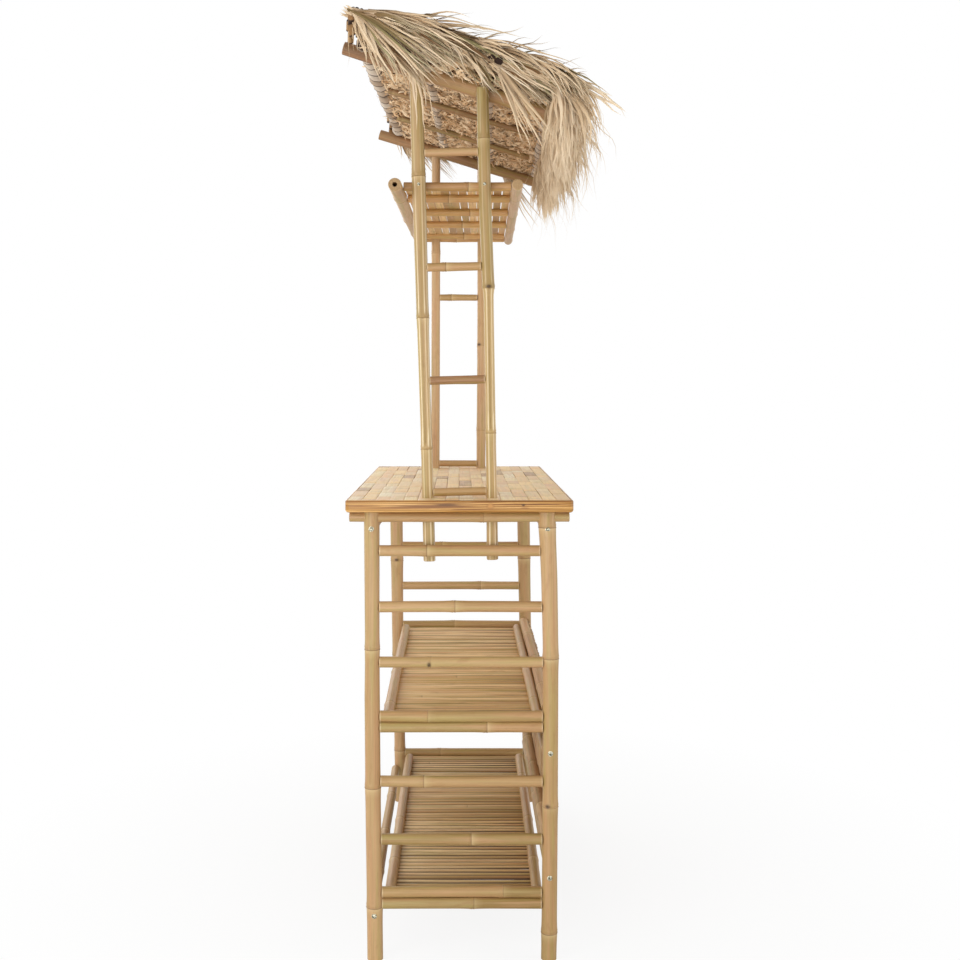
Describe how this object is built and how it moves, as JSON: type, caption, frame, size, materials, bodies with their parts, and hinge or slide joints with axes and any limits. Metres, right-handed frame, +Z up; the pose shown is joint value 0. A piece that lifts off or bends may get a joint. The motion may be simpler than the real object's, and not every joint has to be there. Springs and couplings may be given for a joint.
{
  "type": "tiki bar hut",
  "caption": "Bamboo bar counter on ladder leg frames with shelves, a hanging rack between two post frames and a sloping thatched roof.",
  "frame": {"origin": "on the floor, under the middle of the whole object's length and depth", "axes": "+Z up, X along the counter's length, -Y to the customers' side, +Y to the barkeeper's side"},
  "size_m": [1.2322, 0.6444, 2.1706],
  "materials": {
    "bamboo_pole": "peeled bamboo poles under a thin clear lacquer, satin, with nodes, scars and darker streaks",
    "bamboo_slat": "split bamboo strips under a thin clear lacquer, satin",
    "parquet": "flattened bamboo strips laid with staggered joints, clear satin lacquer",
    "edge_board": "planed board with a bold dark grain, clear satin lacquer",
    "palm_leaf": "dried folded palm leaf, matt"
  },
  "bodies": {
    "root": {"apron_back": "bamboo_pole", "apron_front": "bamboo_pole", "counter_edge_frame": "edge_board", "counter_panel": "parquet", "front_fringe": "palm_leaf", "front_screen": "bamboo_slat", "leg_left_back": "bamboo_pole", "leg_left_front": "bamboo_pole", "leg_right_back": "bamboo_pole", "leg_right_front": "bamboo_pole", "leg_rung_left_1": "bamboo_pole", "leg_rung_left_2": "bamboo_pole", "leg_rung_left_3": "bamboo_pole", "leg_rung_left_4": "bamboo_pole", "leg_rung_left_5": "bamboo_pole", "leg_rung_left_6": "bamboo_pole", "leg_rung_left_7": "bamboo_pole", "leg_rung_right_1": "bamboo_pole", "leg_rung_right_2": "bamboo_pole", "leg_rung_right_3": "bamboo_pole", "leg_rung_right_4": "bamboo_pole", "leg_rung_right_5": "bamboo_pole", "leg_rung_right_6": "bamboo_pole", "leg_rung_right_7": "bamboo_pole", "lower_shelf_end_rail_left": "bamboo_pole", "lower_shelf_end_rail_right": "bamboo_pole", "lower_shelf_rail_back": "bamboo_pole", "lower_shelf_rail_front": "bamboo_pole", "lower_shelf_slats": "bamboo_slat", "post_left_back": "bamboo_pole", "post_left_front": "bamboo_pole", "post_right_back": "bamboo_pole", "post_right_front": "bamboo_pole", "post_rung_left_1": "bamboo_pole", "post_rung_left_2": "bamboo_pole", "post_rung_left_3": "bamboo_pole", "post_rung_left_4": "bamboo_pole", "post_rung_right_1": "bamboo_pole", "post_rung_right_2": "bamboo_pole", "post_rung_right_3": "bamboo_pole", "post_rung_right_4": "bamboo_pole", "rack_deck": "bamboo_slat", "rack_pole_back": "bamboo_pole", "rack_pole_front": "bamboo_pole", "rafter_1": "bamboo_pole", "rafter_2": "bamboo_pole", "rafter_3": "bamboo_pole", "rafter_4": "bamboo_pole", "stretcher_back": "bamboo_pole", "stretcher_front_lower": "bamboo_pole", "stretcher_front_upper": "bamboo_pole", "thatch_mat": "palm_leaf", "top_rung_left": "bamboo_pole", "top_rung_right": "bamboo_pole", "upper_shelf_end_rail_left": "bamboo_pole", "upper_shelf_end_rail_right": "bamboo_pole", "upper_shelf_rail_back": "bamboo_pole", "upper_shelf_rail_front": "bamboo_pole", "upper_shelf_slats": "bamboo_slat"}
  },
  "joints": []
}
